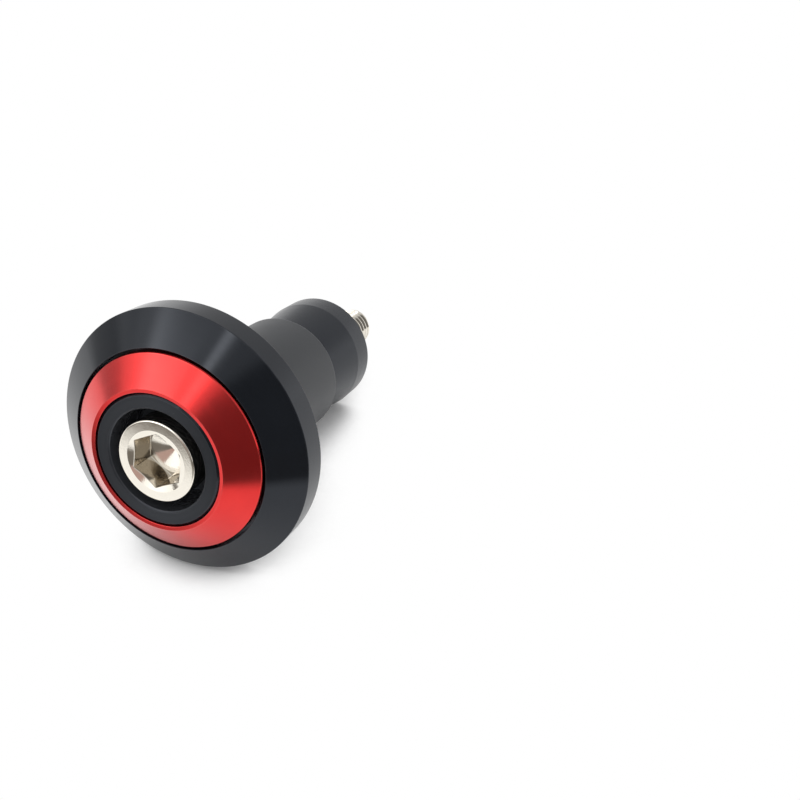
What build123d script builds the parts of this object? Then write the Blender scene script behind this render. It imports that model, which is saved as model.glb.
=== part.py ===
import math
import os

from build123d import *

# Bar end weight for a motorbike handlebar. All sizes are in millimetres, angles in degrees.
# Every piece is round about the Y axis. The nose faces -Y, the plug points to +Y,
# and Y = 0 is the back face of the end cap, which meets the end of the handlebar.

# End cap
outer_diameter = 33.0
rim_length = 3.2
nose_height = 5.2
cone_height = 2.82
rim_front_chamfer = 0.12
rim_back_chamfer = 0.1
hub_diameter = 16.4
hub_drop = 0.05
hub_edge_chamfer = 0.35
counterbore_edge_chamfer = 0.2
counterbore_clearance = 1.3
screw_hole_clearance = 0.25
bush_recess_depth = 0.5
bush_recess_clearance = 0.1

# Accent ring, pressed on the hub, with its outer edge level with the edge of the cone
ring_outer_diameter = 24.4
ring_edge_thickness = 1.4
ring_bore_clearance = 0.02
ring_groove_width = 0.36
ring_edge_chamfer = 0.12
ring_land_width = 0.45
ring_land_drop = 0.07

# Socket head cap screw, M6 x 50
thread_diameter = 6.0
thread_end_chamfer = 0.55
screw_length = 50.0
head_diameter = 10.0
head_height = 6.0
head_edge_radius = 0.2
socket_across_flats = 6.0
socket_depth = 3.3
socket_lip = 0.33
socket_lip_angle = 18.0
socket_point_inset = 0.1
socket_point_angle = 17.0
socket_turn = 33.0

# Expansion bush, rubber
bush_diameter = 16.6
bush_length = 22.1
bush_bore_clearance = 0.4
bush_front_chamfer = 0.4
bush_rear_chamfer = 0.4
bush_mouth_room = 5.5

# Wedge nut, slimmer than the bush so that the handlebar slides over it
wedge_step = 0.2
wedge_taper_angle = 7.4
wedge_insertion = 8.0
wedge_show = 8.1
wedge_band_length = 3.75
wedge_edge_chamfer = 0.12
wedge_thread_clearance = 0.05
wedge_thread_chamfer = 0.5
wedge_bush_clearance = 0.1

# Worked out from the sizes above
rim_radius = outer_diameter / 2
rim_front = -rim_length
nose = rim_front - nose_height
hub_radius = hub_diameter / 2
ring_inner = hub_radius + ring_bore_clearance
ring_outer = ring_outer_diameter / 2
groove_radius = ring_outer + ring_groove_width
cone_edge = rim_front - cone_height
ring_bed = cone_edge + ring_edge_thickness
head_radius = head_diameter / 2
head_seat = nose + head_height
thread_radius = thread_diameter / 2
bush_radius = bush_diameter / 2
bush_front = -bush_recess_depth
wedge_radius = bush_radius - wedge_step
wedge_slope = math.tan(math.radians(wedge_taper_angle))
wedge_nose = bush_length - wedge_insertion
wedge_band = bush_length + wedge_show
wedge_back = wedge_band + wedge_band_length


def wedge_at(height):
    """Radius of the wedge's cone at a height along the axis."""
    return wedge_radius - (wedge_band - height) * wedge_slope


def circles(part):
    """Round edges of a turned part, smallest radius first, each radius from front to back."""
    rings = part.edges().filter_by(GeomType.CIRCLE).group_by(SortBy.RADIUS)
    return [ring.sort_by(Axis.Y) for ring in rings]


# End cap: conical weight with a hub, a counterbore for the screw head and a bed for the ring
with BuildPart() as end_cap:
    hub_front = nose + hub_drop
    counterbore_radius = head_radius + counterbore_clearance
    screw_hole_radius = thread_radius + screw_hole_clearance
    recess_radius = bush_radius + bush_recess_clearance
    with BuildSketch(Plane.XY):
        with BuildLine():
            Polyline(
                (screw_hole_radius, head_seat),
                (counterbore_radius, head_seat),
                (counterbore_radius, hub_front),
                (hub_radius, hub_front),
                (hub_radius, ring_bed),
                (groove_radius, ring_bed),
                (groove_radius, cone_edge),
                (rim_radius, rim_front),
                (rim_radius, 0),
                (recess_radius, 0),
                (recess_radius, bush_front),
                (screw_hole_radius, bush_front),
                close=True,
            )
        make_face()
    revolve(axis=Axis.Y)
    chamfer(circles(end_cap)[-1].first, rim_front_chamfer)
    chamfer(end_cap.edges().group_by(Axis.Y)[-1].sort_by(SortBy.RADIUS).last, rim_back_chamfer)
    chamfer(end_cap.edges().group_by(Axis.Y)[0].sort_by(SortBy.RADIUS).first, counterbore_edge_chamfer)
    chamfer(end_cap.edges().group_by(Axis.Y)[0].sort_by(SortBy.RADIUS).last, hub_edge_chamfer)

# Accent ring: a front almost as steep as the cap's cone, and a narrow land that dips towards the hub
with BuildPart() as accent_ring:
    crest_radius = ring_inner + ring_land_width
    with BuildSketch(Plane.XY):
        with BuildLine():
            Polyline(
                (ring_inner, ring_bed),
                (ring_outer, ring_bed),
                (ring_outer, cone_edge),
                (crest_radius, nose),
                (ring_inner, nose + ring_land_drop),
                close=True,
            )
        make_face()
    revolve(axis=Axis.Y)
    chamfer(circles(accent_ring)[-1].first, ring_edge_chamfer)

# Socket screw: head flush with the nose, plain cylinder for the thread, hex socket with a drilled point
with BuildPart() as socket_screw:
    thread_end = head_seat + screw_length
    socket_floor = nose + socket_depth
    socket_flat = socket_across_flats / 2
    socket_mouth = socket_flat / math.cos(math.radians(30)) + socket_lip
    lip_depth = (socket_mouth - socket_flat) * math.tan(math.radians(socket_lip_angle))
    point_radius = socket_flat - socket_point_inset
    point_depth = point_radius * math.tan(math.radians(socket_point_angle))
    with BuildSketch(Plane.XY):
        with BuildLine():
            Polyline(
                (0, nose),
                (head_radius, nose),
                (head_radius, head_seat),
                (thread_radius, head_seat),
                (thread_radius, thread_end),
                (0, thread_end),
                close=True,
            )
        make_face()
    revolve(axis=Axis.Y)
    fillet(circles(socket_screw)[-1].first, head_edge_radius)
    chamfer(socket_screw.edges().group_by(Axis.Y)[-1], thread_end_chamfer)
    with BuildSketch(Plane(origin=(0, nose, 0), x_dir=(1, 0, 0), z_dir=(0, 1, 0))):
        RegularPolygon(socket_flat, 6, major_radius=False, rotation=socket_turn)
    extrude(amount=socket_depth, mode=Mode.SUBTRACT)
    with BuildSketch(Plane.XY):
        with BuildLine():
            Polyline(
                (0, nose),
                (socket_mouth, nose),
                (socket_flat, nose + lip_depth),
                (point_radius, nose + lip_depth),
                (point_radius, socket_floor),
                (0, socket_floor + point_depth),
                close=True,
            )
        make_face()
    revolve(axis=Axis.Y, mode=Mode.SUBTRACT)

# Expansion bush: rubber sleeve with a clear bore and a tapered mouth for the wedge
with BuildPart() as expansion_bush:
    bush_bore_radius = thread_radius + bush_bore_clearance
    mouth_floor = wedge_nose - bush_mouth_room
    mouth_outer = wedge_at(bush_length) + wedge_bush_clearance
    mouth_inner = wedge_at(mouth_floor) + wedge_bush_clearance
    rear_chamfer = min(bush_rear_chamfer, (bush_radius - mouth_outer) / 2)
    with BuildSketch(Plane.XY):
        with BuildLine():
            Polyline(
                (bush_bore_radius, bush_front),
                (bush_radius, bush_front),
                (bush_radius, bush_length),
                (mouth_outer, bush_length),
                (mouth_inner, mouth_floor),
                (bush_bore_radius, mouth_floor),
                close=True,
            )
        make_face()
    revolve(axis=Axis.Y)
    chamfer(circles(expansion_bush)[-1].last, rear_chamfer)
    chamfer(expansion_bush.edges().group_by(Axis.Y)[0].sort_by(SortBy.RADIUS).last, bush_front_chamfer)

# Wedge nut: cone that widens to the rear, a short band and a threaded hole
with BuildPart() as wedge_nut:
    wedge_hole_radius = thread_radius + wedge_thread_clearance
    with BuildSketch(Plane.XY):
        with BuildLine():
            Polyline(
                (wedge_hole_radius, wedge_nose),
                (wedge_at(wedge_nose), wedge_nose),
                (wedge_radius, wedge_band),
                (wedge_radius, wedge_back),
                (wedge_hole_radius, wedge_back),
                close=True,
            )
        make_face()
    revolve(axis=Axis.Y)
    chamfer(circles(wedge_nut)[0], wedge_thread_chamfer)
    chamfer(wedge_nut.edges().group_by(Axis.Y)[0].sort_by(SortBy.RADIUS).last, wedge_edge_chamfer)
    chamfer(wedge_nut.edges().group_by(Axis.Y)[-1].sort_by(SortBy.RADIUS).last, wedge_edge_chamfer)

end_cap.part.label = "end_cap"
accent_ring.part.label = "accent_ring"
socket_screw.part.label = "socket_screw"
expansion_bush.part.label = "expansion_bush"
wedge_nut.part.label = "wedge_nut"

os.makedirs("parts", exist_ok=True)
export_step(end_cap.part, "parts/end_cap.step")
export_step(accent_ring.part, "parts/accent_ring.step")
export_step(socket_screw.part, "parts/socket_screw.step")
export_step(expansion_bush.part, "parts/expansion_bush.step")
export_step(wedge_nut.part, "parts/wedge_nut.step")
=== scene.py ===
import math

import bmesh
import bpy
from mathutils import Matrix, Vector


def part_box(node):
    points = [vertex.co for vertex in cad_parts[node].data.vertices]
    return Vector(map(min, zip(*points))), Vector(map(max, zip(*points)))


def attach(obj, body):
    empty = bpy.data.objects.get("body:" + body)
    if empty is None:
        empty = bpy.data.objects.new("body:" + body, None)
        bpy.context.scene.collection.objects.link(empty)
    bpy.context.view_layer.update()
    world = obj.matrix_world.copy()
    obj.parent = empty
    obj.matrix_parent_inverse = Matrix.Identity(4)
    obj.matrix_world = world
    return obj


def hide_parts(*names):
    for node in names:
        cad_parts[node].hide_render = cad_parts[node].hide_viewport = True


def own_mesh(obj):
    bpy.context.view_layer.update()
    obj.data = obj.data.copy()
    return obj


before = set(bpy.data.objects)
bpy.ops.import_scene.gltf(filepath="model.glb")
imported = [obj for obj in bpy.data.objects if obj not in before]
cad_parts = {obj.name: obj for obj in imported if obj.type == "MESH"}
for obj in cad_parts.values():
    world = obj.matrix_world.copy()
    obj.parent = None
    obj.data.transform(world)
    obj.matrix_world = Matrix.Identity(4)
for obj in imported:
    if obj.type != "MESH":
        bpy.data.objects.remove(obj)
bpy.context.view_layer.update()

# Bar end weight: five turned pieces on the Y axis, lying on a white table.
# Radii and heights below are in millimetres, heights along Y, and MM turns them into metres.
MM = 0.001

# Fineness of the turned meshes
ROUND_FACETS = 288
SCREW_FACETS = 192
CORNER_STEPS = 6
HEAD_EDGE_STEPS = 12
WEAR_STRIP = 0.1
WELD = 0.0001
SHARP_ANGLE = 12.0

# End cap and accent ring
RIM_LENGTH = 3.2
RIM_EDGE = 0.12
RIM_BACK_CHAMFER = 0.1
CONE_HEIGHT = 2.82
HUB_RADIUS = 8.2
HUB_CHAMFER = 0.35
COUNTERBORE_RADIUS = 6.3
COUNTERBORE_CHAMFER = 0.2
SCREW_HOLE_RADIUS = 3.25
SOFT_CORNER = 0.05
RING_BORE = 8.22
RING_CHAMFER = 0.12
RING_LAND_WIDTH = 0.45
RING_LAND_DROP = 0.07
GROOVE_WIDTH = 0.36
RECESS_RADIUS = 8.4

# Socket screw, M6 x 50
SHANK_RADIUS = 3.0
HEAD_HEIGHT = 6.0
HEAD_EDGE = 0.2
HEAD_FOOT_EDGE = 0.2
SHANK_FILLET = 0.25
SOCKET_SIDES = 6
SOCKET_FLAT = 3.0
SOCKET_DEPTH = 3.3
SOCKET_CORNER_ANGLE = 27.0
SOCKET_LIP_RADIUS = 3.794
SOCKET_LIP_ANGLE = 18.0
SOCKET_BREAK = 0.05
# Share of the darker steel painted as shade on the socket's walls
SOCKET_PAINTED_SHADE = 0.55
POINT_RADIUS = 2.9
POINT_ANGLE = 17.0
POINT_TIP_RADIUS = 0.12
THREAD_LENGTH = 24.0
THREAD_PITCH = 1.0
THREAD_RUNOUT = 1.5
# Share of the darker steel painted as shade in the thread's roots, at their full depth
THREAD_ROOT_PAINTED_SHADE = 0.8
THREAD_END_CHAMFER = 0.55
THREAD_END_FLAT = 2.25

# One turn of the thread: share of the pitch, and depth below the crest as a share of the pitch
THREAD_DEPTH = 0.61
THREAD_PROFILE = [
    (0.00, 0.00), (0.10, 0.00), (0.135, 0.02), (0.46, 0.57),
    (0.51, THREAD_DEPTH), (0.59, THREAD_DEPTH), (0.64, 0.57), (0.965, 0.02), (1.00, 0.00),
]

# Expansion bush and wedge nut
BUSH_BORE = 3.4
BUSH_FRONT_EDGE = 0.4
BUSH_REAR_EDGE = 0.4
BUSH_LIP_EDGE = 0.12
BUSH_MOUTH_ROOM = 5.5
BUSH_MOUTH_CLEARANCE = 0.1
WEDGE_TAPER_ANGLE = 7.4
WEDGE_BAND_LENGTH = 3.75
WEDGE_EDGE = 0.12
WEDGE_BAND_EDGE = 0.06
WEDGE_HOLE_RADIUS = 3.05
WEDGE_HOLE_CHAMFER = 0.5


def reach(node):
    """Radius, front height and back height of a turned piece of the frame, in millimetres."""
    low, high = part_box(node)
    return high.x / MM, low.y / MM, high.y / MM


rim_radius, hub_front, cap_back = reach("end_cap")
ring_radius, _, ring_bed = reach("accent_ring")
head_radius, nose, thread_end = reach("socket_screw")
bush_radius, bush_front, bush_back = reach("expansion_bush")
wedge_radius, wedge_nose, wedge_back = reach("wedge_nut")

rim_front = cap_back - RIM_LENGTH
cone_edge = rim_front - CONE_HEIGHT
head_seat = nose + HEAD_HEIGHT
wedge_band = wedge_back - WEDGE_BAND_LENGTH


def wedge_at(height):
    """Radius of the wedge's cone at a height."""
    return wedge_radius - (wedge_band - height) * math.tan(math.radians(WEDGE_TAPER_ANGLE))


# Turned meshes


def rounded_outline(corners):
    """Rows of (place, normal, wear) along a closed outline of (radius, height, rounding) corners.

    Places and normals hold a radius and a height. The outline runs outwards at the front, back along
    the outside and inwards at the rear.
    """
    points = [Vector(corner[:2]) for corner in corners]
    count = len(points)
    rows = []
    for i, here in enumerate(points):
        before = points[i - 1]
        after = points[(i + 1) % count]
        way_in = (here - before).normalized()
        way_out = (after - here).normalized()
        turn = way_in.angle_signed(way_out)
        rounding = corners[i][2]
        cut = rounding * math.tan(abs(turn) / 2)
        start = here - way_in * cut
        normal_in = Vector((way_in.y, -way_in.x))
        normal_out = Vector((way_out.y, -way_out.x))
        convex = turn < 0
        side = 1 if convex else -1
        centre = start - normal_in * rounding * side
        strip_in = min(WEAR_STRIP, (here - before).length / 2 - cut)
        strip_out = min(WEAR_STRIP, (after - here).length / 2 - cut)
        wear = 1.0 if convex else 0.0
        rows.append((start - way_in * strip_in, normal_in, 0.0))
        for step in range(CORNER_STEPS + 1):
            share = step / CORNER_STEPS
            normal = normal_in.slerp(normal_out, share)
            rows.append((centre + normal * rounding * side, normal, wear))
        rows.append((here + way_out * (cut + strip_out), normal_out, 0.0))
    return rows


def turned_piece(name, corners):
    """A closed piece turned about the Y axis, with rounded corners and a wear attribute on its edges."""
    rows = rounded_outline(corners)
    along = Vector((0, 1, 0))
    places = []
    normals = []
    wear = []
    for place, normal, worn in rows:
        for facet in range(ROUND_FACETS):
            angle = 2 * math.pi * facet / ROUND_FACETS
            across = Vector((math.cos(angle), 0, math.sin(angle)))
            places.append((across * place.x + along * place.y) * MM)
            normals.append(across * normal.x + along * normal.y)
            wear.append(worn)
    faces = []
    for row in range(len(rows)):
        here = row * ROUND_FACETS
        there = (row + 1) % len(rows) * ROUND_FACETS
        for facet in range(ROUND_FACETS):
            beside = (facet + 1) % ROUND_FACETS
            faces.append((here + facet, there + facet, there + beside, here + beside))
    mesh = bpy.data.meshes.new(name)
    mesh.from_pydata(places, [], faces)
    mesh.polygons.foreach_set("use_smooth", [True] * len(faces))
    mesh.attributes.new("wear", "FLOAT", "POINT").data.foreach_set("value", wear)
    mesh.normals_split_custom_set_from_vertices(normals)
    piece = bpy.data.objects.new(name, mesh)
    bpy.context.scene.collection.objects.link(piece)
    return piece


def make_end_cap():
    """End cap: cone, rim, hub, counterbore, groove and a recess for the bush."""
    groove_radius = ring_radius + GROOVE_WIDTH
    return turned_piece("bar_end_cap", [
        (SCREW_HOLE_RADIUS, head_seat, SOFT_CORNER),
        (COUNTERBORE_RADIUS, head_seat, SOFT_CORNER),
        (COUNTERBORE_RADIUS, hub_front + COUNTERBORE_CHAMFER, SOFT_CORNER),
        (COUNTERBORE_RADIUS + COUNTERBORE_CHAMFER, hub_front, SOFT_CORNER),
        (HUB_RADIUS - HUB_CHAMFER, hub_front, SOFT_CORNER),
        (HUB_RADIUS, hub_front + HUB_CHAMFER, SOFT_CORNER),
        (HUB_RADIUS, ring_bed, SOFT_CORNER),
        (groove_radius, ring_bed, SOFT_CORNER),
        (groove_radius, cone_edge, SOFT_CORNER),
        (rim_radius, rim_front, RIM_EDGE),
        (rim_radius, cap_back - RIM_BACK_CHAMFER, SOFT_CORNER),
        (rim_radius - RIM_BACK_CHAMFER, cap_back, SOFT_CORNER),
        (RECESS_RADIUS, cap_back, SOFT_CORNER),
        (RECESS_RADIUS, bush_front, SOFT_CORNER),
        (SCREW_HOLE_RADIUS, bush_front, SOFT_CORNER),
    ])


def make_accent_ring():
    """Ring with a cone in front and a narrow land that dips towards the hub."""
    crest = Vector((RING_BORE + RING_LAND_WIDTH, nose))
    edge = Vector((ring_radius, cone_edge))
    bevel = edge - (edge - crest).normalized() * RING_CHAMFER
    return turned_piece("red_accent_ring", [
        (RING_BORE, nose + RING_LAND_DROP, SOFT_CORNER),
        (*crest, SOFT_CORNER),
        (*bevel, SOFT_CORNER),
        (ring_radius, cone_edge + RING_CHAMFER, SOFT_CORNER),
        (ring_radius, ring_bed, SOFT_CORNER),
        (RING_BORE, ring_bed, SOFT_CORNER),
    ])


def make_expansion_bush():
    """Rubber sleeve with a clear bore and a tapered mouth for the wedge."""
    mouth_floor = wedge_nose - BUSH_MOUTH_ROOM
    mouth_outer = wedge_at(bush_back) + BUSH_MOUTH_CLEARANCE
    mouth_inner = wedge_at(mouth_floor) + BUSH_MOUTH_CLEARANCE
    return turned_piece("rubber_expansion_bush", [
        (BUSH_BORE, bush_front, SOFT_CORNER),
        (bush_radius, bush_front, BUSH_FRONT_EDGE),
        (bush_radius, bush_back, BUSH_REAR_EDGE),
        (mouth_outer, bush_back, BUSH_LIP_EDGE),
        (mouth_inner, mouth_floor, SOFT_CORNER),
        (BUSH_BORE, mouth_floor, SOFT_CORNER),
    ])


def make_wedge_nut():
    """Cone that widens to the rear, with a short band and a threaded hole."""
    chamfer_radius = WEDGE_HOLE_RADIUS + WEDGE_HOLE_CHAMFER
    return turned_piece("tapered_wedge_nut", [
        (chamfer_radius, wedge_nose, SOFT_CORNER),
        (wedge_at(wedge_nose), wedge_nose, WEDGE_EDGE),
        (wedge_radius, wedge_band, WEDGE_BAND_EDGE),
        (wedge_radius, wedge_back - WEDGE_EDGE, SOFT_CORNER),
        (wedge_radius - WEDGE_EDGE, wedge_back, SOFT_CORNER),
        (chamfer_radius, wedge_back, SOFT_CORNER),
        (WEDGE_HOLE_RADIUS, wedge_back - WEDGE_HOLE_CHAMFER, SOFT_CORNER),
        (WEDGE_HOLE_RADIUS, wedge_nose + WEDGE_HOLE_CHAMFER, SOFT_CORNER),
    ])


# Socket screw: a head with a hex socket, a plain shank and a rolled thread


def hex_radius(angle):
    """Distance from the axis to the socket's wall at an angle."""
    side = 2 * math.pi / SOCKET_SIDES
    from_corner = (angle - math.radians(SOCKET_CORNER_ANGLE)) % side
    return SOCKET_FLAT / math.cos(from_corner - side / 2)


def head_rows():
    """Rows of (radius at an angle, height at an angle, share of painted shade) from the socket's floor to
    the thread.
    """
    floor = nose + SOCKET_DEPTH
    near_tip = floor + (POINT_RADIUS - POINT_TIP_RADIUS) * math.tan(math.radians(POINT_ANGLE))
    lip_slope = math.tan(math.radians(SOCKET_LIP_ANGLE))

    def lip(angle):
        return nose + (SOCKET_LIP_RADIUS - hex_radius(angle)) * lip_slope

    def lip_inside(angle):
        return lip(angle) - SOCKET_BREAK * lip_slope

    def fixed(radius, height):
        return (lambda angle: radius, lambda angle: height, 0.0)

    rows = [
        fixed(POINT_TIP_RADIUS, near_tip),
        fixed(POINT_RADIUS, floor),
        (lambda angle: hex_radius(angle) - SOCKET_BREAK, lambda angle: floor, 0.0),
        (hex_radius, lambda angle: floor - SOCKET_BREAK, SOCKET_PAINTED_SHADE),
        (hex_radius, lambda angle: lip(angle) + SOCKET_BREAK, SOCKET_PAINTED_SHADE),
        (lambda angle: hex_radius(angle) + SOCKET_BREAK, lip_inside, 0.0),
        fixed(SOCKET_LIP_RADIUS, nose),
        fixed(head_radius - HEAD_EDGE - WEAR_STRIP, nose),
    ]
    for step in range(HEAD_EDGE_STEPS + 1):
        turn = math.pi / 2 * step / HEAD_EDGE_STEPS
        radius = head_radius - HEAD_EDGE * (1 - math.sin(turn))
        rows.append(fixed(radius, nose + HEAD_EDGE * (1 - math.cos(turn))))
    rows += [
        fixed(head_radius, head_seat - HEAD_FOOT_EDGE),
        fixed(head_radius - HEAD_FOOT_EDGE, head_seat),
        fixed(SHANK_RADIUS + SHANK_FILLET, head_seat),
        fixed(SHANK_RADIUS, head_seat + SHANK_FILLET),
        fixed(SHANK_RADIUS, thread_end - THREAD_LENGTH),
    ]
    return rows


def thread_depth(share):
    """Depth of the thread below its crest at a share of the pitch."""
    for (low, low_depth), (high, high_depth) in zip(THREAD_PROFILE, THREAD_PROFILE[1:]):
        if share <= high:
            return low_depth + (high_depth - low_depth) * (share - low) / (high - low)
    return 0.0


def thread_place(laps, turn):
    """Radius and height of one point of the thread, faded in at the shank and cut by the end chamfer.

    laps counts pitches along the thread, and turn is the share of a turn that the helix has fallen back.
    """
    start = thread_end - THREAD_LENGTH
    height = min(max(start + THREAD_PITCH * (laps - turn), start), thread_end)
    fade = min(1.0, (height - start) / THREAD_RUNOUT)
    depth = thread_depth(((height - start) / THREAD_PITCH + turn) % 1.0)
    bevel = SHANK_RADIUS - THREAD_END_CHAMFER + (thread_end - height)
    return min(SHANK_RADIUS - depth * THREAD_PITCH * fade, bevel), height


def make_socket_screw():
    """Screw in one closed mesh, whose recess attribute marks the painted shade on the socket's walls and in
    the thread's roots.
    """
    turns = [facet / SCREW_FACETS for facet in range(SCREW_FACETS)]
    angles = [2 * math.pi * turn for turn in turns]
    mesh = bmesh.new()
    # Share of painted shade at each point: the socket's walls and the thread's roots
    recess = mesh.verts.layers.float.new("recess")

    def point(turn, radius, height, painted_shade=0.0):
        angle = 2 * math.pi * turn
        vertex = mesh.verts.new(Vector((radius * math.cos(angle), height, radius * math.sin(angle))) * MM)
        vertex[recess] = painted_shade
        return vertex

    def join(here, there):
        for facet in range(SCREW_FACETS):
            beside = (facet + 1) % SCREW_FACETS
            mesh.faces.new((here[facet], there[facet], there[beside], here[beside]))

    floor_tip = point(0, 0, nose + SOCKET_DEPTH + POINT_RADIUS * math.tan(math.radians(POINT_ANGLE)))
    rows = []
    for radius, height, painted_shade in head_rows():
        rows.append([point(turn, radius(angle), height(angle), painted_shade) for turn, angle in zip(turns, angles)])
    for facet in range(SCREW_FACETS):
        mesh.faces.new((floor_tip, rows[0][facet], rows[0][(facet + 1) % SCREW_FACETS]))
    for here, there in zip(rows, rows[1:]):
        join(here, there)

    profile = THREAD_PROFILE[:-1]
    per_turn = len(profile)
    thread = []
    for lap in range(round(THREAD_LENGTH / THREAD_PITCH) + 2):
        for share, depth in profile:
            painted_shade = THREAD_ROOT_PAINTED_SHADE * depth / THREAD_DEPTH
            thread.append([point(turn, *thread_place(lap + share, turn), painted_shade) for turn in turns])
    last = SCREW_FACETS - 1
    for row, (here, there) in enumerate(zip(thread, thread[1:])):
        for facet in range(last):
            mesh.faces.new((here[facet], there[facet], there[facet + 1], here[facet + 1]))
        if row >= per_turn:
            turn_before = row - per_turn
            mesh.faces.new((here[last], there[last], thread[turn_before + 1][0], thread[turn_before][0]))
    end_ring = [point(turn, THREAD_END_FLAT, thread_end) for turn in turns]
    join(thread[-1], end_ring)
    end_tip = point(0, 0, thread_end)
    for facet in range(SCREW_FACETS):
        mesh.faces.new((end_ring[facet], end_tip, end_ring[(facet + 1) % SCREW_FACETS]))
    bmesh.ops.remove_doubles(mesh, verts=mesh.verts, dist=WELD * MM)
    bmesh.ops.dissolve_degenerate(mesh, edges=mesh.edges, dist=WELD * MM)

    data = bpy.data.meshes.new("hex_socket_screw")
    mesh.to_mesh(data)
    mesh.free()
    data.polygons.foreach_set("use_smooth", [True] * len(data.polygons))
    data.set_sharp_from_angle(angle=math.radians(SHARP_ANGLE))
    piece = bpy.data.objects.new("hex_socket_screw", data)
    bpy.context.scene.collection.objects.link(piece)
    return piece


# Effects that several finishes share

# Noise: the span that most of its values lie in, and the detail of each use
NOISE_SPAN = (0.3, 0.7)
MARKS_DETAIL = 2.0
TONE_DETAIL = 3.0
PATCH_DETAIL = 4.0
WEAR_DETAIL = 3.0

# Lathe marks: rings of tone for each fine mark
TONE_SHARE = 0.12

# Worn edges: breaks along an edge, the noise that makes them, and the wear that is left in a break
WEAR_BREAKS_PER_METRE = 700.0
WEAR_SPAN = (0.35, 0.65)
WEAR_LEAST = 0.2

# Dust: where the soft edge of a speck begins and ends, as shares of its cell
SPECK_EDGE = (0.02, 0.055)


def new_group(name, inputs, outputs):
    """A shader node group with named float inputs, given with their defaults, and named float outputs."""
    group = bpy.data.node_groups.new(name, "ShaderNodeTree")
    for socket, default in inputs.items():
        made = group.interface.new_socket(name=socket, in_out="INPUT", socket_type="NodeSocketFloat")
        made.default_value = default
    for socket in outputs:
        group.interface.new_socket(name=socket, in_out="OUTPUT", socket_type="NodeSocketFloat")
    return group, group.nodes.new("NodeGroupInput"), group.nodes.new("NodeGroupOutput")


def add_math(tree, operation, first, second):
    """A Math node of two sockets or numbers. Returns its output."""
    node = tree.nodes.new("ShaderNodeMath")
    node.operation = operation
    for socket, value in zip(node.inputs, (first, second)):
        if isinstance(value, (int, float)):
            socket.default_value = value
        else:
            tree.links.new(value, socket)
    return node.outputs[0]


def add_range(tree, value, low, high, to_low, to_high, smooth=False):
    """A Map Range node. Returns its output."""
    node = tree.nodes.new("ShaderNodeMapRange")
    node.interpolation_type = "SMOOTHSTEP" if smooth else "LINEAR"
    tree.links.new(value, node.inputs["Value"])
    node.inputs["From Min"].default_value = low
    node.inputs["From Max"].default_value = high
    node.inputs["To Min"].default_value = to_low
    node.inputs["To Max"].default_value = to_high
    return node.outputs["Result"]


def add_noise(tree, vector, scale, detail):
    """A Noise Texture node over a vector socket. Returns its factor."""
    node = tree.nodes.new("ShaderNodeTexNoise")
    tree.links.new(vector, node.inputs["Vector"])
    if isinstance(scale, (int, float)):
        node.inputs["Scale"].default_value = scale
    else:
        tree.links.new(scale, node.inputs["Scale"])
    node.inputs["Detail"].default_value = detail
    return node.outputs["Fac"]


def turning_marks_group():
    """Rings that a lathe leaves round the Y axis: a fine height for bump, a broad tone, and the radius."""
    inputs = {"Marks Per Metre": 9000.0}
    group, given, result = new_group("turning_marks", inputs, ["Height", "Tone", "Radius"])
    place = group.nodes.new("ShaderNodeTexCoord").outputs["Object"]
    parts = group.nodes.new("ShaderNodeSeparateXYZ")
    group.links.new(place, parts.inputs[0])
    across = add_math(group, "POWER", parts.outputs["X"], 2.0)
    upward = add_math(group, "POWER", parts.outputs["Z"], 2.0)
    radius = add_math(group, "SQRT", add_math(group, "ADD", across, upward), 0.0)
    section = group.nodes.new("ShaderNodeCombineXYZ")
    group.links.new(radius, section.inputs["X"])
    group.links.new(parts.outputs["Y"], section.inputs["Y"])
    marks = given.outputs["Marks Per Metre"]
    group.links.new(add_noise(group, section.outputs[0], marks, MARKS_DETAIL), result.inputs["Height"])
    broad = add_math(group, "MULTIPLY", marks, TONE_SHARE)
    group.links.new(add_noise(group, section.outputs[0], broad, TONE_DETAIL), result.inputs["Tone"])
    group.links.new(radius, result.inputs["Radius"])
    return group


def mottle_group():
    """Uneven tone of a surface, from 0 to 1."""
    group, given, result = new_group("mottle", {"Patches Per Metre": 300.0}, ["Tone"])
    place = group.nodes.new("ShaderNodeTexCoord").outputs["Object"]
    patches = add_noise(group, place, given.outputs["Patches Per Metre"], PATCH_DETAIL)
    group.links.new(add_range(group, patches, *NOISE_SPAN, 0.0, 1.0), result.inputs["Tone"])
    return group


def edge_wear_group():
    """Where the worn edges of a piece show, broken up along the edge."""
    group, given, result = new_group("edge_wear", {"Amount": 0.5}, ["Mask"])
    edge = group.nodes.new("ShaderNodeAttribute")
    edge.attribute_name = "wear"
    place = group.nodes.new("ShaderNodeTexCoord").outputs["Object"]
    breaks = add_noise(group, place, WEAR_BREAKS_PER_METRE, WEAR_DETAIL)
    broken = add_range(group, breaks, *WEAR_SPAN, WEAR_LEAST, 1.0)
    worn = add_math(group, "MULTIPLY", edge.outputs["Fac"], broken)
    group.links.new(add_math(group, "MULTIPLY", worn, given.outputs["Amount"]), result.inputs["Mask"])
    return group


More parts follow.
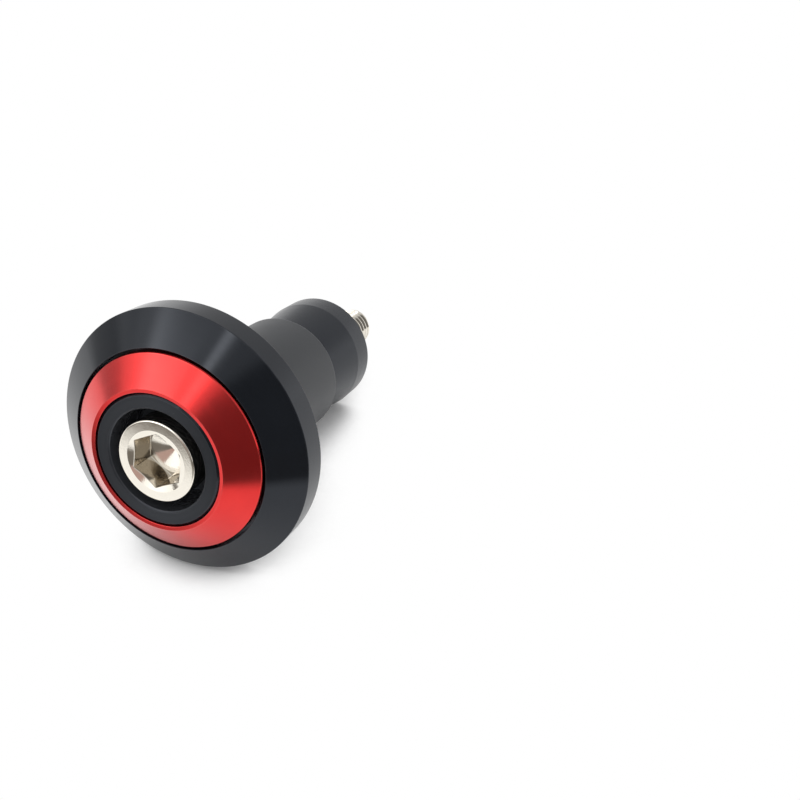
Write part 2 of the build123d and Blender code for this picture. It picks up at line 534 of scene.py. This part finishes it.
def dust_group():
    """Small pale specks, thinly spread."""
    inputs = {"Specks Per Metre": 700.0, "Amount": 0.08}
    group, given, result = new_group("dust_specks", inputs, ["Mask"])
    place = group.nodes.new("ShaderNodeTexCoord").outputs["Object"]
    cells = group.nodes.new("ShaderNodeTexVoronoi")
    group.links.new(place, cells.inputs["Vector"])
    group.links.new(given.outputs["Specks Per Metre"], cells.inputs["Scale"])
    chance = group.nodes.new("ShaderNodeSeparateColor")
    group.links.new(cells.outputs["Color"], chance.inputs[0])
    chosen = add_math(group, "LESS_THAN", chance.outputs[0], given.outputs["Amount"])
    near = add_range(group, cells.outputs["Distance"], *SPECK_EDGE, 1.0, 0.0, smooth=True)
    group.links.new(add_math(group, "MULTIPLY", chosen, near), result.inputs["Mask"])
    return group


TURNING_MARKS = turning_marks_group()
MOTTLE = mottle_group()
EDGE_WEAR = edge_wear_group()
DUST = dust_group()


# Finishes: colours that vary run from the first to the second of a pair, and so does roughness

CAP_BLACK = ((0.0048, 0.0060, 0.0084), (0.0062, 0.0076, 0.0104))
WEDGE_BLACK = ((0.0058, 0.0072, 0.0104), (0.0074, 0.0090, 0.0126))
HUB_BLACK = (0.0092, 0.0105, 0.0132)
# Paler than the hub's black: painted light in the deep counterbore
BORE_PAINTED_LIGHT = (0.036, 0.038, 0.044)
BLACK_RUBBED = (0.06, 0.062, 0.068)
BLACK_DUST = (0.16, 0.16, 0.16)
BLACK_SHEEN = (0.85, 0.90, 1.0, 1.0)
CAP_ROUGHNESS = (0.10, 0.14)
WEDGE_ROUGHNESS = (0.18, 0.26)
HUB_ROUGHNESS = (0.52, 0.62)
BORE_ROUGHNESS = (0.22, 0.30)
HUB_FADE = 0.03

RED_DYE = ((0.76, 0.020, 0.019), (0.82, 0.025, 0.022))
RED_RUBBED = (0.90, 0.12, 0.11)
RED_ROUGHNESS = (0.18, 0.21)

STEEL = ((0.92, 0.87, 0.77), (0.97, 0.92, 0.82))
# Darker steel, painted as shade in the socket and the thread's roots
STEEL_PAINTED_SHADE = (0.20, 0.165, 0.135)
STEEL_ROUGHNESS = (0.07, 0.12)

RUBBER = ((0.024, 0.0265, 0.031), (0.031, 0.0335, 0.038))
RUBBER_RUBBED = (0.09, 0.09, 0.094)
RUBBER_DUST = (0.22, 0.22, 0.21)
RUBBER_ROUGHNESS = (0.38, 0.46)

# Grain of turned metal: how much it stretches reflections, and its turn as a share of a full one
TURNED_GRAIN = 0.6
GRAIN_TURN = 0.25

# Places of a Mix node's sockets: its values, its colours and the mixed colour
MIX_VALUES = (2, 3)
MIX_COLOURS = (6, 7)
MIXED_COLOUR = 2


class Finish:
    """A material in the making, with its node tree and its shader."""

    def __init__(self, name):
        self.material = bpy.data.materials.new(name)
        self.material.use_nodes = True
        self.tree = self.material.node_tree
        self.shader = self.tree.nodes["Principled BSDF"]

    def effect(self, group, **values):
        """Places a shared effect. Returns its outputs."""
        node = self.tree.nodes.new("ShaderNodeGroup")
        node.node_tree = group
        for socket, value in values.items():
            node.inputs[socket.replace("_", " ")].default_value = value
        return node.outputs

    def set(self, **values):
        """Sets plain values on the shader's own sockets."""
        for socket, value in values.items():
            self.shader.inputs[socket.replace("_", " ")].default_value = value

    def blend(self, share, low, high):
        """A colour between two colours or sockets, by a share from 0 to 1."""
        node = self.tree.nodes.new("ShaderNodeMix")
        node.data_type = "RGBA"
        self.tree.links.new(share, node.inputs["Factor"])
        for place, colour in zip(MIX_COLOURS, (low, high)):
            if isinstance(colour, tuple):
                node.inputs[place].default_value = (*colour, 1.0)
            else:
                self.tree.links.new(colour, node.inputs[place])
        return node.outputs[MIXED_COLOUR]

    def level(self, share, low, high):
        """A value between two sockets, by a share from 0 to 1."""
        node = self.tree.nodes.new("ShaderNodeMix")
        self.tree.links.new(share, node.inputs[0])
        for place, value in zip(MIX_VALUES, (low, high)):
            self.tree.links.new(value, node.inputs[place])
        return node.outputs[0]

    def attribute(self, name):
        """A value that the mesh carries at its points."""
        node = self.tree.nodes.new("ShaderNodeAttribute")
        node.attribute_name = name
        return node.outputs["Fac"]

    def feed(self, socket, value):
        """Links a value that changes over the surface to a socket of the shader."""
        self.tree.links.new(value, self.shader.inputs[socket])

    def bump(self, height, strength, distance):
        """Raises the surface by a height from 0 to 1 times a distance in millimetres."""
        node = self.tree.nodes.new("ShaderNodeBump")
        node.inputs["Strength"].default_value = strength
        node.inputs["Distance"].default_value = distance * MM
        self.tree.links.new(height, node.inputs["Height"])
        self.tree.links.new(node.outputs["Normal"], self.shader.inputs["Normal"])

    def turned_grain(self):
        """Stretches reflections across the lathe's marks, which run round the Y axis."""
        node = self.tree.nodes.new("ShaderNodeTangent")
        node.direction_type = "RADIAL"
        node.axis = "Y"
        self.tree.links.new(node.outputs["Tangent"], self.shader.inputs["Tangent"])
        self.set(Anisotropic=TURNED_GRAIN, Anisotropic_Rotation=GRAIN_TURN)


def black_anodised(name, dark, pale, marks, roughness, hub_radius=0.0):
    """Black anodised aluminium with lathe marks, paler where its edges are rubbed.

    Inside the hub's radius it is dull, and smoother again in the counterbore, whose paler colour is painted
    light.
    """
    finish = Finish(name)
    rings = finish.effect(TURNING_MARKS, Marks_Per_Metre=marks)
    tone = finish.effect(MOTTLE, Patches_Per_Metre=260.0)["Tone"]
    worn = finish.effect(EDGE_WEAR, Amount=0.18)["Mask"]
    dust = finish.effect(DUST, Specks_Per_Metre=420.0, Amount=0.03)["Mask"]
    colour = finish.blend(tone, dark, pale)
    shine = add_range(finish.tree, rings["Tone"], *NOISE_SPAN, *roughness)
    if hub_radius:
        hub_edge = (hub_radius - HUB_FADE, hub_radius + HUB_FADE)
        # The counterbore's paler colour is painted light
        bore_edge = (COUNTERBORE_RADIUS, COUNTERBORE_RADIUS + COUNTERBORE_CHAMFER)
        zones = ((hub_edge, HUB_ROUGHNESS, HUB_BLACK), (bore_edge, BORE_ROUGHNESS, BORE_PAINTED_LIGHT))
        for (inner, outer), zone_roughness, zone_colour in zones:
            inside = add_range(finish.tree, rings["Radius"], inner * MM, outer * MM, 1.0, 0.0)
            zone_shine = add_range(finish.tree, rings["Tone"], *NOISE_SPAN, *zone_roughness)
            shine = finish.level(inside, shine, zone_shine)
            colour = finish.blend(inside, colour, zone_colour)
    colour = finish.blend(worn, colour, BLACK_RUBBED)
    colour = finish.blend(dust, colour, BLACK_DUST)
    finish.feed("Base Color", colour)
    finish.feed("Roughness", shine)
    finish.bump(rings["Height"], strength=0.12, distance=0.01)
    finish.set(IOR=1.47, Specular_Tint=BLACK_SHEEN)
    finish.turned_grain()
    return finish.material


def red_anodised():
    """Red dyed anodised aluminium: metal seen through a thin clear coat."""
    finish = Finish("red_anodised_aluminium")
    rings = finish.effect(TURNING_MARKS, Marks_Per_Metre=11000.0)
    tone = finish.effect(MOTTLE, Patches_Per_Metre=320.0)["Tone"]
    worn = finish.effect(EDGE_WEAR, Amount=0.3)["Mask"]
    colour = finish.blend(tone, *RED_DYE)
    colour = finish.blend(worn, colour, RED_RUBBED)
    finish.feed("Base Color", colour)
    finish.feed("Roughness", add_range(finish.tree, rings["Tone"], *NOISE_SPAN, *RED_ROUGHNESS))
    finish.bump(rings["Height"], strength=0.06, distance=0.01)
    finish.set(Metallic=1.0, Coat_Weight=0.65, Coat_Roughness=0.25, Coat_IOR=1.5)
    finish.turned_grain()
    return finish.material


def plated_steel():
    """Bright plated steel of the screw, slightly pitted, with painted shade in the socket and the thread's
    roots.
    """
    finish = Finish("bright_plated_steel")
    pits = finish.effect(MOTTLE, Patches_Per_Metre=5200.0)["Tone"]
    tone = finish.effect(MOTTLE, Patches_Per_Metre=700.0)["Tone"]
    colour = finish.blend(tone, *STEEL)
    # Painted shade in the socket's walls and the thread's roots
    colour = finish.blend(finish.attribute("recess"), colour, STEEL_PAINTED_SHADE)
    finish.feed("Base Color", colour)
    finish.feed("Roughness", add_range(finish.tree, tone, 0.0, 1.0, *STEEL_ROUGHNESS))
    finish.bump(pits, strength=0.07, distance=0.02)
    finish.set(Metallic=1.0)
    return finish.material


def black_rubber():
    """Matte moulded rubber with a fine grain and a little dust."""
    finish = Finish("black_moulded_rubber")
    grain = finish.effect(MOTTLE, Patches_Per_Metre=6500.0)["Tone"]
    tone = finish.effect(MOTTLE, Patches_Per_Metre=180.0)["Tone"]
    rubbed = finish.effect(EDGE_WEAR, Amount=0.25)["Mask"]
    dust = finish.effect(DUST, Specks_Per_Metre=330.0, Amount=0.06)["Mask"]
    colour = finish.blend(tone, *RUBBER)
    colour = finish.blend(rubbed, colour, RUBBER_RUBBED)
    colour = finish.blend(dust, colour, RUBBER_DUST)
    finish.feed("Base Color", colour)
    finish.feed("Roughness", add_range(finish.tree, tone, 0.0, 1.0, *RUBBER_ROUGHNESS))
    finish.bump(grain, strength=0.25, distance=0.02)
    finish.set(IOR=1.5)
    return finish.material


def place_piece(piece, material, body, node):
    """Gives a piece its finish, puts it on its body and hides the node of the frame that it stands for."""
    piece.data.materials.append(material)
    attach(piece, body)
    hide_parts(node)
    return piece


cap_black = black_anodised(
    "black_anodised_cap", *CAP_BLACK, marks=9000.0, roughness=CAP_ROUGHNESS,
    hub_radius=HUB_RADIUS - HUB_CHAMFER,
)
wedge_black = black_anodised("black_anodised_wedge", *WEDGE_BLACK, marks=7000.0, roughness=WEDGE_ROUGHNESS)
steel = plated_steel()

place_piece(make_end_cap(), cap_black, "cap_and_bush", "end_cap")
place_piece(make_accent_ring(), red_anodised(), "cap_and_bush", "accent_ring")
place_piece(make_socket_screw(), steel, "screw", "socket_screw")
place_piece(make_wedge_nut(), wedge_black, "wedge", "wedge_nut")
bush = place_piece(make_expansion_bush(), black_rubber(), "cap_and_bush", "expansion_bush")
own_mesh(bush)


# Table and light

# The weight lies on its rim and on its wedge nut, so the table leans against the Y axis
TABLE_LEAN = math.atan2(rim_radius - wedge_radius, wedge_back - WEDGE_EDGE - (cap_back - RIM_BACK_CHAMFER))
TABLE_SIZE = 3.0
TABLE_COLOUR = (0.985, 0.985, 0.985)
TABLE_GAP = 0.02
WHITE = (1.0, 1.0, 1.0)

# Shadow: how far the weight darkens the table, and the shares of open sky between which the table turns
# to plain white, to the eye and in reflections
SHADOW_REACH = 20.0
SHADOW_SEEN = (0.34, 0.62)
SHADOW_MIRRORED = (0.5, 0.95)

# Far part of the table, darker in reflections, partly the table beyond the paper and partly painted shade:
# the way to it, where it begins and is reached, and its colour
APRON_AZIMUTH = 20.0
APRON_SPAN = (38.0, 53.0)
# Colour of the far table, partly painted shade
APRON_PAINTED_SHADE = (0.17, 0.155, 0.14)

# Dome: how high it fades (as the sine of the elevation), and its light at the horizon and above
DOME_RISE = (0.15, 0.52)
DOME_LIGHT = (1.08, 0.67)

SOFT_BOX_AZIMUTH = -120.0
SOFT_BOX_ELEVATION = 68.0
SOFT_BOX_DISTANCE = 0.7
SOFT_BOX_SIZE = 0.8
SOFT_BOX_WATTS = 2.4

# Cards that only reflections show, from back to front: azimuths, elevations, colour, and the shares of the
# card that its edges fade over, across and upward
CARD_DISTANCE = 0.65
CARD_STEP = 0.02
CARD_FACETS = 12
CARDS = {
    "front_window": ((-70.0, 8.0), (11.0, 73.0), (1.15, 1.15, 1.15), (0.1, 0.1)),
    "bright_window": ((-60.0, -12.0), (8.0, 46.0), (3.2, 3.2, 3.2), (0.22, 0.4)),
    "strip_light": ((-9.0, 3.0), (16.0, 60.0), (3.4, 3.4, 3.4), (0.45, 0.45)),
    "dark_flag": ((8.0, 70.0), (-40.0, 36.0), (0.17, 0.165, 0.16), (0.08, 0.08)),
    "grey_flag": ((-94.0, -64.0), (-5.5, 22.0), (0.46, 0.46, 0.46), (0.3, 0.3)),
    "warm_flag": ((-15.0, 9.0), (-16.0, 8.0), (0.45, 0.31, 0.28), (0.1, 0.1)),
    "low_window": ((-55.0, -15.0), (-8.0, 14.0), (1.25, 1.25, 1.25), (0.3, 0.3)),
}


def direction(azimuth, elevation):
    """Unit vector to a place on the sky: azimuth 0 is -Y and 90 is +X, in degrees."""
    turn, rise = math.radians(azimuth), math.radians(elevation)
    return Vector((math.sin(turn) * math.cos(rise), -math.cos(turn) * math.cos(rise), math.sin(rise)))


def make_sheet(name, points, faces):
    """A sheet of the stage and the empty node tree of its material."""
    mesh = bpy.data.meshes.new(name)
    mesh.from_pydata(points, [], faces)
    sheet = bpy.data.objects.new(name, mesh)
    bpy.context.scene.collection.objects.link(sheet)
    material = bpy.data.materials.new(name)
    material.use_nodes = True
    material.node_tree.nodes.clear()
    mesh.materials.append(material)
    return sheet, material.node_tree


def table_sheet(name, gap):
    """A sheet in the table's plane, lowered by a gap."""
    lean = Matrix.Rotation(TABLE_LEAN, 4, "X")
    touch = Vector((0, cap_back - RIM_BACK_CHAMFER, -rim_radius)) * MM
    touch -= lean @ Vector((0, 0, gap * MM))
    half = TABLE_SIZE / 2
    corners = [(-half, -half, 0), (half, -half, 0), (half, half, 0), (-half, half, 0)]
    return make_sheet(name, [touch + lean @ Vector(corner) for corner in corners], [(0, 1, 2, 3)])


def add_glow(tree, colour):
    """An Emission shader of strength 1. Returns its output."""
    glow = tree.nodes.new("ShaderNodeEmission")
    glow.inputs["Color"].default_value = (*colour, 1.0)
    return glow.outputs[0]


def add_mix(tree, share, first, second):
    """A mix of two shaders by a share from 0 to 1. Returns its output."""
    mix = tree.nodes.new("ShaderNodeMixShader")
    tree.links.new(share, mix.inputs[0])
    tree.links.new(first, mix.inputs[1])
    tree.links.new(second, mix.inputs[2])
    return mix.outputs[0]


def show_surface(tree, shader):
    """Makes a shader the surface of a material."""
    out = tree.nodes.new("ShaderNodeOutputMaterial")
    tree.links.new(shader, out.inputs["Surface"])


def only_in_reflections(sheet):
    """Hides a sheet from everything but reflections."""
    sheet.visible_camera = False
    sheet.visible_diffuse = False
    sheet.visible_shadow = False
    sheet.visible_transmission = False


def make_table():
    """White table, seen from above only.

    Away from the weight it is plain white to the eye and in reflections.
    """
    _, tree = table_sheet("table", TABLE_GAP)
    paper = tree.nodes.new("ShaderNodeBsdfDiffuse")
    paper.inputs["Color"].default_value = (*TABLE_COLOUR, 1.0)
    path = tree.nodes.new("ShaderNodeLightPath")
    mirrored = add_math(tree, "MAXIMUM", path.outputs["Is Glossy Ray"], path.outputs["Is Transmission Ray"])
    near = tree.nodes.new("ShaderNodeAmbientOcclusion")
    near.inputs["Distance"].default_value = SHADOW_REACH * MM
    glow = add_range(tree, near.outputs["AO"], *SHADOW_SEEN, 0.0, 1.0, smooth=True)
    faint = add_range(tree, near.outputs["AO"], *SHADOW_MIRRORED, 0.0, 1.0, smooth=True)
    plain = add_math(tree, "MULTIPLY", path.outputs["Is Camera Ray"], glow)
    share = add_math(tree, "MAXIMUM", plain, add_math(tree, "MULTIPLY", mirrored, faint))
    lit = add_mix(tree, share, paper.outputs[0], add_glow(tree, WHITE))
    clear = tree.nodes.new("ShaderNodeBsdfTransparent")
    side = tree.nodes.new("ShaderNodeNewGeometry")
    show_surface(tree, add_mix(tree, side.outputs["Backfacing"], lit, clear.outputs[0]))


def make_apron():
    """Far part of the table beyond the paper, seen only in reflections, which darkens away from the weight,
    partly as painted shade.
    """
    shade_apron, tree = table_sheet("shade_apron", 0.0)
    only_in_reflections(shade_apron)
    parts = tree.nodes.new("ShaderNodeSeparateXYZ")
    tree.links.new(tree.nodes.new("ShaderNodeTexCoord").outputs["Object"], parts.inputs[0])
    way = direction(APRON_AZIMUTH, 0.0)
    across = add_math(tree, "MULTIPLY", parts.outputs["X"], way.x)
    ahead = add_math(tree, "MULTIPLY", parts.outputs["Y"], way.y)
    begins, reached = APRON_SPAN
    share = add_range(tree, add_math(tree, "ADD", across, ahead), begins * MM, reached * MM, 0.0, 1.0)
    clear = tree.nodes.new("ShaderNodeBsdfTransparent")
    show_surface(tree, add_mix(tree, share, clear.outputs[0], add_glow(tree, APRON_PAINTED_SHADE)))


def add_soft_edge(tree, value, softness):
    """A share that rises from 0 to 1 and falls again as a value runs from 0 to 1."""
    rise = add_range(tree, value, 0.0, softness, 0.0, 1.0, smooth=True)
    fall = add_range(tree, value, 1.0 - softness, 1.0, 1.0, 0.0, smooth=True)
    return add_math(tree, "MULTIPLY", rise, fall)


def make_card(name, distance, azimuths, elevations, colour, softness):
    """A curved card round the weight, seen only in reflections, that fades out at its edges."""
    left, right = azimuths
    low, high = elevations
    shares = [step / CARD_FACETS for step in range(CARD_FACETS + 1)]
    spread = [(across, upward) for upward in shares for across in shares]
    points = []
    for across, upward in spread:
        points.append(direction(left + (right - left) * across, low + (high - low) * upward) * distance)
    row = CARD_FACETS + 1
    starts = [upward * row + across for upward in range(CARD_FACETS) for across in range(CARD_FACETS)]
    card, tree = make_sheet(name, points, [(here, here + 1, here + row + 1, here + row) for here in starts])
    only_in_reflections(card)
    strength = None
    for axis, values, soft in zip(("across", "upward"), zip(*spread), softness):
        card.data.attributes.new(axis, "FLOAT", "POINT").data.foreach_set("value", values)
        node = tree.nodes.new("ShaderNodeAttribute")
        node.attribute_name = axis
        edge = add_soft_edge(tree, node.outputs["Fac"], soft)
        strength = add_math(tree, "MULTIPLY", strength, edge) if strength else edge
    clear = tree.nodes.new("ShaderNodeBsdfTransparent")
    show_surface(tree, add_mix(tree, strength, clear.outputs[0], add_glow(tree, colour)))


def make_cards():
    """Windows, flags and a strip light, each a little nearer than the one before."""
    for order, (name, card) in enumerate(CARDS.items()):
        make_card(name, CARD_DISTANCE - CARD_STEP * order, *card)


def make_soft_box():
    """Large soft light overhead, behind the weight, that isn't seen in reflections."""
    light = bpy.data.lights.new("soft_box", "AREA")
    light.energy = SOFT_BOX_WATTS
    light.size = SOFT_BOX_SIZE
    lamp = bpy.data.objects.new("soft_box", light)
    way = direction(SOFT_BOX_AZIMUTH, SOFT_BOX_ELEVATION)
    lamp.location = way * SOFT_BOX_DISTANCE
    lamp.rotation_euler = way.to_track_quat("Z", "Y").to_euler()
    lamp.visible_glossy = False
    bpy.context.scene.collection.objects.link(lamp)


def make_dome():
    """Pale dome, dimmer overhead, and plain white to the eye."""
    world = bpy.data.worlds.new("pale_dome")
    world.use_nodes = True
    tree = world.node_tree
    dome = tree.nodes["Background"]
    place = tree.nodes.new("ShaderNodeTexCoord").outputs["Generated"]
    parts = tree.nodes.new("ShaderNodeSeparateXYZ")
    tree.links.new(place, parts.inputs[0])
    light = add_range(tree, parts.outputs["Z"], *DOME_RISE, *DOME_LIGHT, smooth=True)
    tree.links.new(light, dome.inputs["Strength"])
    dome.inputs["Color"].default_value = (*WHITE, 1.0)
    white = tree.nodes.new("ShaderNodeBackground")
    white.inputs["Color"].default_value = (*WHITE, 1.0)
    path = tree.nodes.new("ShaderNodeLightPath")
    seen = add_mix(tree, path.outputs["Is Camera Ray"], dome.outputs[0], white.outputs[0])
    tree.links.new(seen, tree.nodes["World Output"].inputs["Surface"])
    bpy.context.scene.world = world


# Camera: sizes on the picture are in pixels, the distance in millimetres and the angles in degrees

IMAGE_SIZE = 800
SENSOR_WIDTH = 36.0
FOCAL_PIXELS = 864.0
CAMERA_AZIMUTH = 34.14
CAMERA_ELEVATION = 27.09
CAMERA_ROLL = -1.23
CAMERA_DISTANCE = 104.66
AIM_PIXEL = (181.6, 443.2)


def make_camera():
    """Camera that shows the middle of the rim's front at the aim pixel."""
    back = direction(CAMERA_AZIMUTH, CAMERA_ELEVATION)
    right = Vector((math.cos(math.radians(CAMERA_AZIMUTH)), math.sin(math.radians(CAMERA_AZIMUTH)), 0))
    level = Matrix((right, back.cross(right), back))
    rolled = Matrix.Rotation(math.radians(-CAMERA_ROLL), 3, "Z") @ level
    centre = (IMAGE_SIZE - 1) / 2
    ray = Vector(((AIM_PIXEL[0] - centre) / FOCAL_PIXELS, (centre - AIM_PIXEL[1]) / FOCAL_PIXELS, -1))
    aimed = Vector((0, 0, -1)).rotation_difference(ray).to_matrix() @ rolled
    lens = bpy.data.cameras.new("camera")
    lens.sensor_width = SENSOR_WIDTH
    lens.lens = SENSOR_WIDTH * FOCAL_PIXELS / IMAGE_SIZE
    lens.clip_start = MM
    camera = bpy.data.objects.new("camera", lens)
    camera.matrix_world = aimed.transposed().to_4x4()
    camera.location = (back * CAMERA_DISTANCE + Vector((0, rim_front, 0))) * MM
    bpy.context.scene.collection.objects.link(camera)
    bpy.context.scene.camera = camera


make_table()
make_apron()
make_cards()
make_soft_box()
make_dome()
make_camera()
bpy.context.scene.view_settings.view_transform = "Standard"
